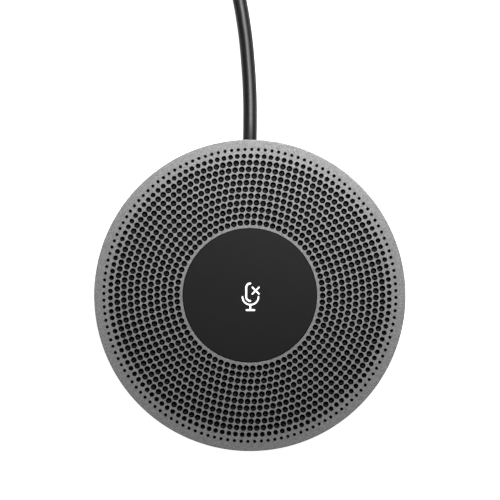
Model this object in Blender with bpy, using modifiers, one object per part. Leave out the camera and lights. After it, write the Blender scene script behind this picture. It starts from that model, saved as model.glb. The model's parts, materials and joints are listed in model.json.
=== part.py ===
"""A conference speakerphone: a flat round puck with a pressed metal cap, a mute button in its middle and a
dark base tray on a rubber ring. A fixed USB lead leaves the back and is wound into a tied coil.

The scene is in metres with +Z up. The origin is on the table under the puck's middle, and the lead leaves
towards +Y. Sizes and places below are written in millimetres, and the helpers turn them into metres.
"""

import math

import bmesh
import bpy
from mathutils import Vector

MM = 0.001
MERGE = 0.00001
GAP = 0.3  # between pieces that touch

# Driving dimensions of the puck
PUCK_R = 42.0
PUCK_TOP = 22.0
SHEET = 1.0  # thickness of the pressed metal
EDGE_R = 0.3
WALL_FOOT = 15.5  # lower edge of the cap's side wall
RIM_TOP = 14.9  # top of the tray's rim
RIM_R = 40.8
FLOOR_BASE = 1.0
FLOOR_TOP = 2.6

# Mute button
OPENING_R = 18.2
BUTTON_R = 17.9
BUTTON_TOP = 21.8
BUTTON_UNDER = 20.4
PRESS = 0.6  # travel, which every gap under the cap allows for
LUG_ANGLES = (30, 150, 270)
LUG_WIDTH = 3.0
LUG_UNDER = 18.5
FLEX_ANGLE = 45
SWITCH_UNDER = 16.8
SWITCH_TOP = 18.4
PLUNGER_UNDER = 17.9
DIFFUSER_UNDER = 19.3
BUTTON_BOARD_R = 14.5
BUTTON_BOARD_TOP = 16.5

# Frame
HUB_UNDER = 14.6
HUB_TOP = 15.4
SPOKE_TOP = 15.6
GUIDE_R = BUTTON_R + GAP
HUB_R = 19.2
FRAME_RING_TOP = 17.2
POST_R = 27.5  # the four screws stand on this circle
POST_ANGLES = (45, 135, 225, 315)

# Boards
BOARD_UNDER = 5.0
BOARD_TOP = 6.2
ON_BOARD = BOARD_TOP + GAP
MIC_BOARD_UNDER = SPOKE_TOP + GAP
MIC_BOARD_TOP = 16.7
MIC_BOARD_INNER = 32.4
MIC_BOARD_OUTER = 37.9
MIC_R = 35.2
FILM = 0.3  # thickness of a flexible circuit

# Tray: speaker well, foot ring and screws
WELL_INNER = 18.2
WELL_OUTER = 19.6
WELL_TOP = 11.2
FOOT_INNER = 25.0
FOOT_OUTER = 30.0
SCREW_SEAT = 3.4
SCREW_TOP = 12.5
SCREW_HOLE_R = 1.6
FLANGE_UNDER = 12.4
FLANGE_TOP = 13.2
POST_BORE_TOP = 13.2

# Lead and coil
LEAD_D = 3.8
LEAD_R = LEAD_D / 2
LEAD_Z = 8.6  # height of the lead where it leaves the tray
ROUTE = (
    (0, 31, 8.6),
    (0, 36, 8.6),
    (0, 41.4, 8.6),
    (0.05, 46, 8.35),
    (0.05, 52, 7.4),
    (-0.15, 58, 6.2),
    (-0.55, 64, 4.95),
    (-1.1, 70, 3.75),
    (-1.85, 75.4, 2.8),
    (-2.7, 80.3, 2.15),
    (-4.8, 89.74, 1.9),
    (-7.32, 99.07, 1.9),
    (-10.25, 108.29, 1.9),
    (-13.59, 117.37, 1.9),
    (-17.32, 126.28, 1.9),
)
COIL_CENTRE = (-44.0, 114.4)
COIL_OUTER = 29.2  # radius of the outermost turn's centreline
COIL_INNER = 15.5
COIL_LAYERS = 2
END_ROUTE = (  # from the coil's middle: the free end leaves the outermost turn and rises to its plug
    (11.9, -27.2, 6.0),
    (17.7, -25.7, 6.8),
    (25.2, -22.3, 8.2),
    (29.7, -15.4, 9.8),
    (30.1, -7.1, 11.0),
    (28.1, -1.9, 11.6),
    (26.6, 0.1, 11.8),
)
TIE_ANGLE = 170
TIE_WIDTH = 8.0
TIE_THICK = 1.0
PLUG_ANGLE = 42  # the plug lies across this radius of the coil
PLUG_OFFSET = 19.8
PLUG_Z = 11.8

COLLECTION = bpy.data.collections.new("conference_speakerphone")
HELPERS = bpy.data.collections.new("cutters")


def clear_scene():
    for obj in list(bpy.data.objects):
        bpy.data.objects.remove(obj, do_unlink=True)
    for collection in (COLLECTION, HELPERS):
        bpy.context.scene.collection.children.link(collection)


def metres(*lengths):
    return Vector([length * MM for length in lengths])


def finish(name, colour, roughness, metallic=0.0):
    """A material of one colour."""
    material = bpy.data.materials.new(name)
    material.use_nodes = True
    shader = material.node_tree.nodes["Principled BSDF"]
    shader.inputs["Base Color"].default_value = (*colour, 1)
    shader.inputs["Roughness"].default_value = roughness
    shader.inputs["Metallic"].default_value = metallic
    material.diffuse_color = (*colour, 1)
    return material


def add(name, data, material, location=(0, 0, 0), turn=(0, 0, 0)):
    """Puts mesh or curve data in the model at a place in millimetres, turned by Euler angles in degrees."""
    obj = bpy.data.objects.new(name, data)
    obj.location = metres(*location)
    obj.rotation_euler = [math.radians(angle) for angle in turn]
    if material:
        data.materials.append(material)
        COLLECTION.objects.link(obj)
    else:
        HELPERS.objects.link(obj)
        obj.hide_render = True
        obj.display_type = "WIRE"
    return obj


def turned(name, outline, material=None, steps=36, location=(0, 0, 0), turn=(0, 0, 0)):
    """Turns an outline of (radius, height) points about Z. It runs outwards along the top, down the outer
    side and back along the bottom; an outline that starts on the axis ends there too."""
    mesh = bpy.data.meshes.new(name)
    count = len(outline)
    edges = [(index, index + 1) for index in range(count - 1)]
    if outline[0][0] > 0:
        edges.append((count - 1, 0))
    mesh.from_pydata([metres(radius, 0, height) for radius, height in outline], edges, [])
    obj = add(name, mesh, material, location, turn)
    screw = obj.modifiers.new("Turn", "SCREW")
    screw.steps = screw.render_steps = steps
    screw.use_merge_vertices = True
    screw.merge_threshold = MERGE
    return obj


def ring(name, inner, outer, under, top, material=None, steps=36):
    outline = ((inner, top), (outer, top), (outer, under), (inner, under))
    return turned(name, outline, material, steps)


def rod(name, radius, under, top, material=None, place=(0, 0), steps=12):
    outline = ((0, top), (radius, top), (radius, under), (0, under))
    return turned(name, outline, material, steps, (*place, 0))


def box(name, size, centre, material=None, turn=(0, 0, 0), bevel=0.0):
    mesh = bpy.data.meshes.new(name)
    shape = bmesh.new()
    bmesh.ops.create_cube(shape, size=1)
    bmesh.ops.scale(shape, vec=metres(*size), verts=shape.verts)
    shape.to_mesh(mesh)
    shape.free()
    obj = add(name, mesh, material, centre, turn)
    if bevel:
        edge = obj.modifiers.new("Edges", "BEVEL")
        edge.width = bevel * MM
        edge.segments = 2
    return obj


def around(angle, radius, across=0.0):
    """The place at an angle in degrees and a radius from the puck's axis, moved sideways if asked."""
    spoke = math.radians(angle)
    return (
        radius * math.cos(spoke) - across * math.sin(spoke),
        radius * math.sin(spoke) + across * math.cos(spoke),
    )


def boolean(obj, other, operation):
    modifier = obj.modifiers.new(other.name, "BOOLEAN")
    modifier.operation = operation
    modifier.object = other
    modifier.solver = "EXACT"


def cut(obj, *cutters):
    for cutter in cutters:
        boolean(obj, cutter, "DIFFERENCE")


def join(obj, *others):
    for other in others:
        boolean(obj, other, "UNION")


def evaluated_mesh(obj):
    """The mesh of an object in world space, with its modifiers applied and no loose caps."""
    bpy.context.view_layer.update()
    source = obj.evaluated_get(bpy.context.evaluated_depsgraph_get())
    mesh = bpy.data.meshes.new_from_object(source)
    mesh.transform(obj.matrix_world)
    shape = bmesh.new()
    shape.from_mesh(mesh)
    bmesh.ops.remove_doubles(shape, verts=shape.verts, dist=MERGE)
    shape.to_mesh(mesh)
    shape.free()
    return mesh


def copies(original, places):
    """Replaces an object with numbered copies, at (location, angle about Z) places, that share its mesh."""
    name = original.name
    mesh = evaluated_mesh(original)
    bpy.data.objects.remove(original)
    made = []
    for number, (location, angle) in enumerate(places, 1):
        obj = bpy.data.objects.new(f"{name}_{number}", mesh)
        obj.location = metres(*location)
        obj.rotation_euler.z = math.radians(angle)
        COLLECTION.objects.link(obj)
        made.append(obj)
    return made


def smooth_route(route, spacing):
    """Points about one spacing apart on a smooth curve (Catmull-Rom) through a route's own points."""
    route = [Vector(point) for point in route]
    ends = [2 * route[0] - route[1], *route, 2 * route[-1] - route[-2]]
    points = []
    for before, start, end, after in zip(ends, ends[1:], ends[2:], ends[3:]):
        parts = max(1, round((end - start).length / spacing))
        for part in range(parts):
            t = part / parts
            linear = (end - before) * t
            square = (2 * before - 5 * start + 4 * end - after) * t**2
            cube = (3 * start - before - 3 * end + after) * t**3
            points.append(start + (linear + square + cube) / 2)
    return [*points, route[-1]]


def tube(name, points, radius, material=None, resolution=2):
    """A round tube along points in millimetres, with closed ends."""
    curve = bpy.data.curves.new(name, "CURVE")
    curve.dimensions = "3D"
    curve.bevel_depth = radius * MM
    curve.bevel_resolution = resolution
    curve.use_fill_caps = True
    spline = curve.splines.new("POLY")
    spline.points.add(len(points) - 1)
    for spot, point in zip(spline.points, points):
        spot.co = (*metres(*point), 1)
    return add(name, curve, material)


def tube_cutter(name, points, radius):
    """The same tube as a mesh, which can cut other meshes."""
    guide = tube(name, points, radius)
    mesh = evaluated_mesh(guide)
    bpy.data.objects.remove(guide)
    return add(name, mesh, None)


def stroke_cutter(name, centreline, width, under, top):
    """A prism around a centreline of (x, y) points, with round ends."""
    points = [Vector(point) for point in centreline]
    left, right = [], []
    for index, point in enumerate(points):
        ahead = points[min(index + 1, len(points) - 1)] - points[max(index - 1, 0)]
        normal = Vector((-ahead.y, ahead.x)).normalized() * width / 2
        left.append(point + normal)
        right.append(point - normal)
    outline = right + round_end(points[-1], right[-1]) + left[::-1] + round_end(points[0], left[0])
    mesh = bpy.data.meshes.new(name)
    shape = bmesh.new()
    face = shape.faces.new([shape.verts.new(metres(*point, under)) for point in outline])
    bmesh.ops.extrude_face_region(shape, geom=[face])
    shape.verts.ensure_lookup_table()
    for vert in shape.verts[len(outline) :]:
        vert.co.z = top * MM
    bmesh.ops.recalc_face_normals(shape, faces=shape.faces)
    shape.to_mesh(mesh)
    shape.free()
    return add(name, mesh, None)


def round_end(centre, start, steps=5):
    """The points of a half circle about a centre, anticlockwise from a start that isn't repeated."""
    arm = start - centre
    angles = [math.pi * step / steps for step in range(1, steps)]
    return [centre + Vector((arm.x * math.cos(a) - arm.y * math.sin(a),
                             arm.x * math.sin(a) + arm.y * math.cos(a))) for a in angles]


def arc(centre, radius, first, last, steps):
    """Points on an arc between two angles in degrees."""
    angles = [math.radians(first + (last - first) * step / steps) for step in range(steps + 1)]
    return [(centre[0] + radius * math.cos(a), centre[1] + radius * math.sin(a)) for a in angles]


def body(name, location, pieces):
    """Hangs moving pieces on an empty on their joint's axis, without moving them."""
    empty = bpy.data.objects.new(name, None)
    empty.location = metres(*location)
    COLLECTION.objects.link(empty)
    bpy.context.view_layer.update()
    for piece in pieces:
        piece.parent = empty
        piece.matrix_parent_inverse = empty.matrix_world.inverted()


# ---------------------------------------------------------------- finishes

def make_finishes():
    return {
        "silver": finish("silver_paint", (0.62, 0.62, 0.63), 0.42, 0.6),
        "charcoal": finish("charcoal_plastic", (0.028, 0.028, 0.029), 0.6),
        "black": finish("black_plastic", (0.012, 0.012, 0.013), 0.55),
        "cloth": finish("black_cloth", (0.014, 0.014, 0.015), 0.95),
        "rubber": finish("black_rubber", (0.015, 0.015, 0.015), 0.85),
        "steel": finish("zinc_steel", (0.56, 0.57, 0.58), 0.35, 1.0),
        "magnet": finish("ferrite", (0.05, 0.05, 0.055), 0.6, 0.2),
        "board": finish("circuit_board", (0.015, 0.10, 0.045), 0.45),
        "chip": finish("chip_resin", (0.02, 0.02, 0.022), 0.4),
        "nickel": finish("nickel_plate", (0.72, 0.70, 0.66), 0.25, 1.0),
        "ivory": finish("ivory_nylon", (0.78, 0.74, 0.62), 0.5),
        "silicone": finish("clear_silicone", (0.55, 0.56, 0.56), 0.5),
        "guide": finish("milky_acrylic", (0.86, 0.86, 0.85), 0.35),
        "polyimide": finish("amber_film", (0.45, 0.20, 0.04), 0.35),
        "paper": finish("black_paper", (0.03, 0.03, 0.03), 0.8),
        "copper": finish("enamelled_copper", (0.60, 0.26, 0.12), 0.3, 1.0),
        "spider": finish("yellow_linen", (0.50, 0.38, 0.14), 0.9),
        "red": finish("red_insulation", (0.45, 0.02, 0.02), 0.4),
        "pvc": finish("black_pvc", (0.02, 0.02, 0.021), 0.45),
    }


# ---------------------------------------------------------------- shell

def make_top_grille(look):
    """Pressed cap: flat face, rolled outer edge, side wall, and a lip turned down round the button. Its
    fine perforation is left to the finished surface."""
    inner_wall = PUCK_R - SHEET
    lip_r = OPENING_R + 0.55
    bend = 0.25
    edge = arc((PUCK_R - EDGE_R, PUCK_TOP - EDGE_R), EDGE_R, 90, 0, 3)
    outline = [
        (OPENING_R + bend, PUCK_TOP),
        *edge,
        (PUCK_R, WALL_FOOT),
        (inner_wall, WALL_FOOT),
        (inner_wall, PUCK_TOP - SHEET),
        (lip_r, PUCK_TOP - SHEET),
        (lip_r, PUCK_TOP - 2.2),
        (OPENING_R, PUCK_TOP - 2.2),
        (OPENING_R, PUCK_TOP - bend),
    ]
    return turned("top_grille", outline, look["silver"], steps=56)


def make_acoustic_cloth(look):
    top = PUCK_TOP - SHEET - GAP
    ring("acoustic_cloth", HUB_R, PUCK_R - SHEET - GAP, top - GAP, top, look["cloth"])


def make_inner_frame(look):
    """Ring on the tray's rim, hub with the button's guide wall, and a screw post under each spoke."""
    ring_inner = 38.1
    guide_top = 19.4
    bite = 0.3  # how far a spoke's ends run into the hub and the ring
    outline = (
        (0, HUB_TOP), (GUIDE_R, HUB_TOP), (GUIDE_R, guide_top),
        (HUB_R, guide_top), (HUB_R, HUB_UNDER), (0, HUB_UNDER),
    )
    frame = turned("inner_frame", outline, look["black"])
    join(frame, ring("frame_ring", ring_inner, RIM_R - 0.1, RIM_TOP + GAP, FRAME_RING_TOP))
    spoke = (ring_inner - HUB_R + 2 * bite, 5, SPOKE_TOP - HUB_UNDER)
    post_r = 3.0
    for angle in POST_ANGLES:
        centre = (*around(angle, (HUB_R + ring_inner) / 2), HUB_UNDER + spoke[2] / 2)
        post = around(angle, POST_R)
        join(frame, box(f"spoke_{angle}", spoke, centre, turn=(0, 0, angle)))
        join(frame, rod(f"post_{angle}", post_r, ON_BOARD, HUB_UNDER + spoke[2] / 2, place=post))
        cut(frame, rod(f"post_hole_{angle}", SCREW_HOLE_R, ON_BOARD - 1, POST_BORE_TOP, place=post))
    for angle in LUG_ANGLES:
        slot = (2 * (HUB_R - GUIDE_R) + 1, LUG_WIDTH + 2 * GAP, 4)
        centre = (*around(angle, (HUB_R + GUIDE_R) / 2), LUG_UNDER - PRESS - GAP + slot[2] / 2)
        cut(frame, box(f"lug_slot_{angle}", slot, centre, turn=(0, 0, angle)))
    window = (*around(FLEX_ANGLE, (HUB_R + GUIDE_R) / 2), SPOKE_TOP + 0.7)
    cut(frame, box("flex_window", (3, 4.4, 1.4), window, turn=(0, 0, FLEX_ANGLE)))


def make_bottom_cover(look):
    """Tray with a groove for the foot ring below, a speaker well in the middle and four screw bosses."""
    groove_top = FLOOR_BASE + 0.6
    outline = (
        (0, FLOOR_TOP), (WELL_INNER, FLOOR_TOP), (WELL_INNER, WELL_TOP), (WELL_OUTER, WELL_TOP),
        (WELL_OUTER, FLOOR_TOP), (33.6, FLOOR_TOP), (34.8, 3.8), (RIM_R - 1.9, RIM_TOP), (RIM_R, RIM_TOP),
        (36.6, 3.7), (36.0, 2.4), (35.0, 1.4), (33.6, FLOOR_BASE),
        (FOOT_OUTER + GAP, FLOOR_BASE), (FOOT_OUTER + GAP, groove_top),
        (FOOT_INNER - GAP, groove_top), (FOOT_INNER - GAP, FLOOR_BASE), (0, FLOOR_BASE),
    )
    tray = turned("bottom_cover", outline, look["black"], steps=44)
    for angle in POST_ANGLES:
        place = around(angle, POST_R)
        join(tray, rod(f"boss_{angle}", 3.2, FLOOR_TOP - 0.5, BOARD_UNDER - GAP, place=place))
        cut(tray, rod(f"screw_hole_{angle}", SCREW_HOLE_R, FLOOR_BASE, BOARD_UNDER + 1, place=place))
        cut(tray, rod(f"screw_seat_{angle}", 2.7, FLOOR_BASE, SCREW_SEAT, place=place))
    lead_hole = ((0, 44), (3.4, 44), (3.4, 34), (0, 34))
    cut(tray, turned("lead_hole", lead_hole, None, 16, (0, 0, LEAD_Z), (-90, 0, 0)))
    cut(tray, box("wire_slot", (4.6, 4, 4), (0, -(WELL_INNER + WELL_OUTER) / 2, WELL_TOP - 0.9)))


def make_foot_and_weight(look):
    bevel = 0.3
    top = 1.3
    foot = (
        (FOOT_INNER, top), (FOOT_OUTER, top), (FOOT_OUTER, bevel), (FOOT_OUTER - bevel, 0),
        (FOOT_INNER + bevel, 0), (FOOT_INNER, bevel),
    )
    turned("rubber_foot_ring", foot, look["rubber"])
    weight_r, weight_top, clearance_r = 33.0, 4.3, 3.6
    under = FLOOR_TOP + GAP
    weight = ring("weight_plate", WELL_OUTER + GAP, weight_r, under, weight_top, look["steel"])
    for angle in POST_ANGLES:
        place = around(angle, POST_R)
        cut(weight, rod(f"weight_hole_{angle}", clearance_r, under - 1, weight_top + 1, place=place))


def make_base_screws(look):
    """One screw from below at each post, with a crossed slot in its head."""
    shank, head = 1.3, 2.4
    seat = SCREW_SEAT - GAP
    under = seat - 1.3
    outline = ((0, SCREW_TOP), (shank, SCREW_TOP), (shank, seat), (head, seat), (head, under), (0, under))
    screw = turned("base_screw", outline, look["steel"], steps=16)
    for name, size in (("slot_x", (2.6, 0.6, 1.2)), ("slot_y", (0.6, 2.6, 1.2))):
        cut(screw, box(name, size, (0, 0, under)))
    copies(screw, [((*around(angle, POST_R), 0), angle) for angle in POST_ANGLES])


# ---------------------------------------------------------------- mute button

def symbol_cutters():
    """A generic muted-microphone sign: half a capsule, a cross beside it, a cradle, a stem and a foot."""
    under, top = BUTTON_UNDER - 0.5, BUTTON_TOP + 0.5
    capsule = [*arc((0.11, 2.13), 1.08, 90, 180, 5), *arc((0.11, -0.41), 1.08, 180, 270, 5)]
    cradle = arc((0.16, -0.36), 2.16, 181, 359, 12)
    strokes = (
        ("capsule", capsule, 0.54),
        ("cross_rising", ((0.69, 0.4), (2.45, 2.18)), 0.46),
        ("cross_falling", ((0.69, 2.18), (2.45, 0.4)), 0.46),
        ("cradle", cradle, 0.46),
        ("stem", ((0.13, -2.5), (0.13, -3.9)), 0.48),
        ("foot", ((-0.88, -3.96), (1.18, -3.96)), 0.54),
    )
    return [stroke_cutter(f"sign_{name}", line, width, under, top) for name, line, width in strokes]


def make_mute_button(look):
    """Cap with a skirt, three guide lugs that the grille's lip holds in, and the sign cut through it."""
    bevel, wall, skirt_under = 0.25, 1.3, 18.2
    outline = (
        (0, BUTTON_TOP), (BUTTON_R - bevel, BUTTON_TOP), (BUTTON_R, BUTTON_TOP - bevel),
        (BUTTON_R, skirt_under), (BUTTON_R - wall, skirt_under), (BUTTON_R - wall, BUTTON_UNDER),
        (0, BUTTON_UNDER),
    )
    cap = turned("mute_button_cap", outline, look["charcoal"], steps=44)
    for angle in LUG_ANGLES:
        centre = (*around(angle, BUTTON_R + 0.2), LUG_UNDER + 0.5)
        join(cap, box(f"lug_{angle}", (1.6, LUG_WIDTH, 1), centre, turn=(0, 0, angle)))
    cut(cap, *symbol_cutters())
    guide_r, guide_top = 6.5, BUTTON_UNDER - GAP
    light_guide = rod("symbol_light_guide", guide_r, DIFFUSER_UNDER, guide_top, look["guide"], steps=24)
    plunger = rod("mute_switch_plunger", 1.0, PLUNGER_UNDER, DIFFUSER_UNDER - GAP, look["ivory"])
    body("mute_button", (0, 0, BUTTON_TOP), (cap, light_guide, plunger))


def make_button_electronics(look):
    rod("button_board", BUTTON_BOARD_R, HUB_TOP + GAP, BUTTON_BOARD_TOP, look["board"], steps=28)
    height = SWITCH_TOP - SWITCH_UNDER
    switch = box("mute_switch_body", (6.2, 6.2, height), (0, 0, SWITCH_UNDER + height / 2), look["chip"])
    cut(switch, rod("plunger_bore", 1.3, SWITCH_UNDER + GAP, SWITCH_TOP + 1))
    led = (2.0, 1.3, 0.7)
    box("status_led", led, (4.9, 0, BUTTON_BOARD_TOP + GAP + led[2] / 2), look["ivory"])
    pad_top, pad_under, pad_shoulder = BUTTON_UNDER - GAP, BUTTON_BOARD_TOP + GAP, 17.4
    pad = (
        (9.6, pad_top), (10.6, pad_top), (12.6, pad_shoulder),
        (12.6, pad_under), (11.0, pad_under), (11.0, pad_shoulder),
    )
    turned("button_return_pad", pad, look["silicone"], steps=24)
    start, end = BUTTON_BOARD_R + GAP, MIC_BOARD_INNER - GAP
    centre = (*around(FLEX_ANGLE, (start + end) / 2), SPOKE_TOP + GAP + FILM / 2)
    box("button_flex", (end - start, 3.6, FILM), centre, look["polyimide"], turn=(0, 0, FLEX_ANGLE))


# ---------------------------------------------------------------- microphones

def make_microphones(look):
    """Four capsules on a ring board, each in a rubber boot that seals it to the cloth above."""
    ring("microphone_board", MIC_BOARD_INNER, MIC_BOARD_OUTER, MIC_BOARD_UNDER, MIC_BOARD_TOP, look["board"])
    under = MIC_BOARD_TOP + GAP
    capsule = box("microphone", (3.0, 3.8, 1.0), (0, 0, 0.5), look["nickel"], bevel=0.2)
    places = [((*around(angle, MIC_R), under), angle) for angle in (0, 90, 180, 270)]
    copies(capsule, places)
    height = PUCK_TOP - SHEET - 3 * GAP - under
    boot = box("microphone_boot", (5.0, 6.0, height), (0, 0, height / 2), look["rubber"], bevel=0.4)
    cut(boot, box("boot_pocket", (3.6, 4.4, 2.6), (0, 0, 0)))
    cut(boot, rod("boot_port", 0.6, 1, 5, steps=10))
    copies(boot, places)
    height = MIC_BOARD_UNDER - GAP - ON_BOARD
    angle = 20  # clear of the screw posts and the microphones
    centre = (*around(angle, 33.5), ON_BOARD + height / 2)
    box("microphone_flex", (FILM, 6, height), centre, look["polyimide"], turn=(0, 0, angle))


# ---------------------------------------------------------------- electronics

def make_electronics(look):
    board_r, screw_clearance = 34.6, 1.7
    board = ring("main_board", WELL_OUTER + 0.4, board_r, BOARD_UNDER, BOARD_TOP, look["board"])
    for angle in POST_ANGLES:
        place = around(angle, POST_R)
        cut(board, rod(f"board_hole_{angle}", screw_clearance, BOARD_UNDER - 1, BOARD_TOP + 1, place=place))
    cut(board, box("lead_notch", (8.6, 4, 4), (0, board_r + 0.2, BOARD_TOP)))
    socket_r, chip_r = 24.6, 27.3
    parts = (
        ("processor_chip", (10, 10, 1.2), 0, "chip", 0),
        ("amplifier_chip", (5, 5, 1.0), 295, "chip", 0),
        ("shield_can", (13, 11, 2.6), 180, "nickel", 0.3),
        ("speaker_socket", (5.0, 7.0, 4.0), 270, "ivory", 0.3),
        ("cable_socket", (4.5, 9.0, 4.0), 90, "ivory", 0.3),
    )
    for name, size, angle, material, bevel in parts:
        radius = socket_r if name.endswith("socket") else chip_r
        centre = (*around(angle, radius), ON_BOARD + size[2] / 2)
        box(name, size, centre, look[material], turn=(0, 0, angle), bevel=bevel)
    for number, angle in enumerate((155, 205), 1):
        can = (
            (0, 12.2), (2.2, 12.2), (2.6, 11.8), (2.6, 7.6), (2.4, 7.3), (2.6, 7.0), (2.6, ON_BOARD),
            (0, ON_BOARD),
        )
        turned(f"capacitor_{number}", can, look["nickel"], 16, (*around(angle, chip_r), 0))
    box("cable_plug_housing", (8.4, 3.3, 3.6), (0, 29.0, LEAD_Z), look["ivory"], bevel=0.3)


# ---------------------------------------------------------------- loudspeaker

def make_speaker(look):
    """A small driver that stands in the tray's well and fires up under the hub."""
    basket = (
        (16.3, FLANGE_TOP), (19.3, FLANGE_TOP), (19.3, FLANGE_UNDER), (17.2, FLANGE_UNDER), (11.0, 8.2),
        (6.2, 8.2), (6.2, 9.0), (9.6, 9.0), (10.0, 9.9), (12.3, 9.9), (16.3, 12.6),
    )
    basket = turned("speaker_basket", basket, look["steel"], steps=28)
    for angle in POST_ANGLES:
        window = (*around(angle, 13.4), 9.9)
        cut(basket, box(f"basket_window_{angle}", (2.6, 8, 5), window, turn=(0, 50, angle)))
    yoke = ((0, 7.9), (4.2, 7.9), (4.2, 4.3), (10.8, 4.3), (10.8, FLOOR_TOP + GAP), (0, FLOOR_TOP + GAP))
    turned("speaker_yoke", yoke, look["steel"], steps=24)
    ring("speaker_magnet", 6.0, 10.6, 4.6, 6.6, look["magnet"], steps=24)
    ring("speaker_top_plate", 5.4, 10.4, 6.9, 7.9, look["steel"], steps=24)
    ring("speaker_gasket", 17.8, 19.5, WELL_TOP + GAP, FLANGE_UNDER - GAP, look["rubber"], steps=28)

    cone = ((5.4, 11.2), (14.4, 13.0), (14.4, 12.6), (5.4, 10.8))
    cone = turned("speaker_cone", cone, look["paper"], steps=28)
    coil = ring("speaker_voice_coil", 4.5, 5.1, 5.6, 11.0, look["copper"], steps=20)
    dome_top = arc((0, 5.0), 7.9, 90, 49, 3)
    dome_under = arc((0, 5.0), 7.5, 49, 90, 3)
    dust_cap = turned("speaker_dust_cap", [*dome_top, *dome_under], look["paper"], steps=20)
    dust_cap.location.z = 0.6 * MM
    body("cone", (0, 0, FLANGE_TOP), (cone, coil, dust_cap))

    roll_top = arc((15.4, 13.3), 0.75, 180, 30, 4)
    roll_under = arc((15.4, 13.3), 0.45, 0, 180, 4)
    surround = [*roll_top, (16.3, 13.8), (18.9, 13.8), (18.9, 13.5), (16.2, 13.5), *roll_under]
    turned("speaker_surround", surround, look["rubber"], steps=24)
    ring("speaker_spider", 5.4, 11.9, 10.2, 10.5, look["spider"], steps=24)
    for name, side, material in (("red", 1, "red"), ("black", -1, "pvc")):
        across = 0.8 * side
        path = ((across, -13.9, 9.3), (across, -17, 9.5), (across, -20, 9.4), (across, -21.7, 9.0))
        tube(f"speaker_wire_{name}", smooth_route(path, 1.5), 0.45, look[material])


# ---------------------------------------------------------------- lead, coil and plug

def make_lead(look):
    """Grommet in the back wall, the lead down to the table, and its spare length as a tied coil."""
    bore = LEAD_R + GAP
    grommet = ((bore, 41.4), (2.6, 41.4), (3.1, 39.6), (3.1, 34.2), (3.9, 34.2), (3.9, 33.2), (bore, 33.2))
    turned("cable_grommet", grommet, look["rubber"], 16, (0, 0, LEAD_Z), (-90, 0, 0))
    spacing = 2 * LEAD_D
    lead = smooth_route(ROUTE, spacing)
    tube("usb_cable", lead, LEAD_R, look["pvc"])

    side, height, bend = COIL_OUTER + LEAD_R, COIL_LAYERS * LEAD_D, 1.2
    inside = COIL_INNER - LEAD_R
    outline = (
        (inside + bend, height), (side - bend, height), (side, height - bend), (side, bend),
        (side - bend, 0), (inside + bend, 0), (inside, bend), (inside, height - bend),
    )
    coil = turned("cable_coil", outline, look["pvc"], 32, (*COIL_CENTRE, 0))
    end = smooth_route([(*beside_coil(0, x, y), z) for x, y, z in END_ROUTE], LEAD_D)
    channel_r = bore + 0.1
    cut(coil, tube_cutter("lead_channel", lead[-7:], channel_r), tube_cutter("end_channel", end, channel_r))
    under_tie = (*beside_coil(TIE_ANGLE, (COIL_OUTER + COIL_INNER) / 2), 0)
    notch = (30, TIE_WIDTH + 2 * GAP, 2 * (TIE_THICK + GAP))
    cut(coil, box("tie_notch", notch, under_tie, turn=(0, 0, TIE_ANGLE)))
    chord_inside = math.sqrt(inside**2 - (TIE_WIDTH / 2) ** 2)
    make_tie(look, chord_inside - GAP, side + GAP, height + GAP)

    tube("usb_cable_end", end, LEAD_R, look["pvc"])


def make_tie(look, inner, outer, top):
    """A flat band round the bundle, as an outline across it: X runs out from the coil's middle, Y is up."""
    curve = bpy.data.curves.new("cable_tie", "CURVE")
    curve.dimensions = "2D"
    curve.fill_mode = "BOTH"
    curve.extrude = TIE_WIDTH / 2 * MM
    thick = TIE_THICK
    for low, high, grow, corner in ((inner, outer, thick, 2.0), (inner, outer, 0, 1.0)):
        left, right, base, lid = low - grow, high + grow, thick - grow, top + grow
        corners = ((right - corner, base + corner, 270), (right - corner, lid - corner, 0),
                   (left + corner, lid - corner, 90), (left + corner, base + corner, 180))
        points = [spot for x, y, angle in corners for spot in arc((x, y), corner, angle, angle + 90, 3)]
        spline = curve.splines.new("POLY")
        spline.use_cyclic_u = True
        spline.points.add(len(points) - 1)
        for spot, point in zip(spline.points, points):
            spot.co = (*metres(*point, 0), 1)
    add("cable_tie", curve, look["cloth"], (*COIL_CENTRE, 0), (90, 0, TIE_ANGLE))


def beside_coil(angle, radius, across=0.0):
    x, y = around(angle, radius, across)
    return COIL_CENTRE[0] + x, COIL_CENTRE[1] + y


def make_plug(look):
    """A moulded plug that lies across the coil, with its strain relief behind and its metal shell ahead."""
    turn = (0, 0, PLUG_ANGLE + 90)
    grip_length, relief_length, shell_length = 25.0, 8.0, 12.0
    grip_mid = 3.1
    front = grip_mid + grip_length / 2
    back = grip_mid - grip_length / 2

    def on_plug(along):
        return (*beside_coil(PLUG_ANGLE, PLUG_OFFSET, along), PLUG_Z)

    grip = box("usb_plug_overmould", (grip_length, 15.4, 7.8), on_plug(grip_mid), look["pvc"], turn, 1.4)
    relief = ((0, relief_length), (2.3, relief_length), (3.4, -1), (0, -1))
    join(grip, turned("relief", relief, None, 12, on_plug(back), (0, -90, PLUG_ANGLE + 90)))
    middle = front + GAP + shell_length / 2
    shell = box("usb_plug_shell", (shell_length, 12.0, 4.5), on_plug(middle), look["nickel"], turn)
    cut(shell, box("shell_mouth", (shell_length, 11.2, 3.7), on_plug(middle + 1), None, turn))


def main():
    clear_scene()
    look = make_finishes()
    make_top_grille(look)
    make_acoustic_cloth(look)
    make_inner_frame(look)
    make_bottom_cover(look)
    make_foot_and_weight(look)
    make_base_screws(look)
    make_mute_button(look)
    make_button_electronics(look)
    make_microphones(look)
    make_electronics(look)
    make_speaker(look)
    make_lead(look)
    make_plug(look)


main()
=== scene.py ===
import json
import math

import bmesh
import bpy
from mathutils import Matrix, Vector
from mathutils.geometry import delaunay_2d_cdt


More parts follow.
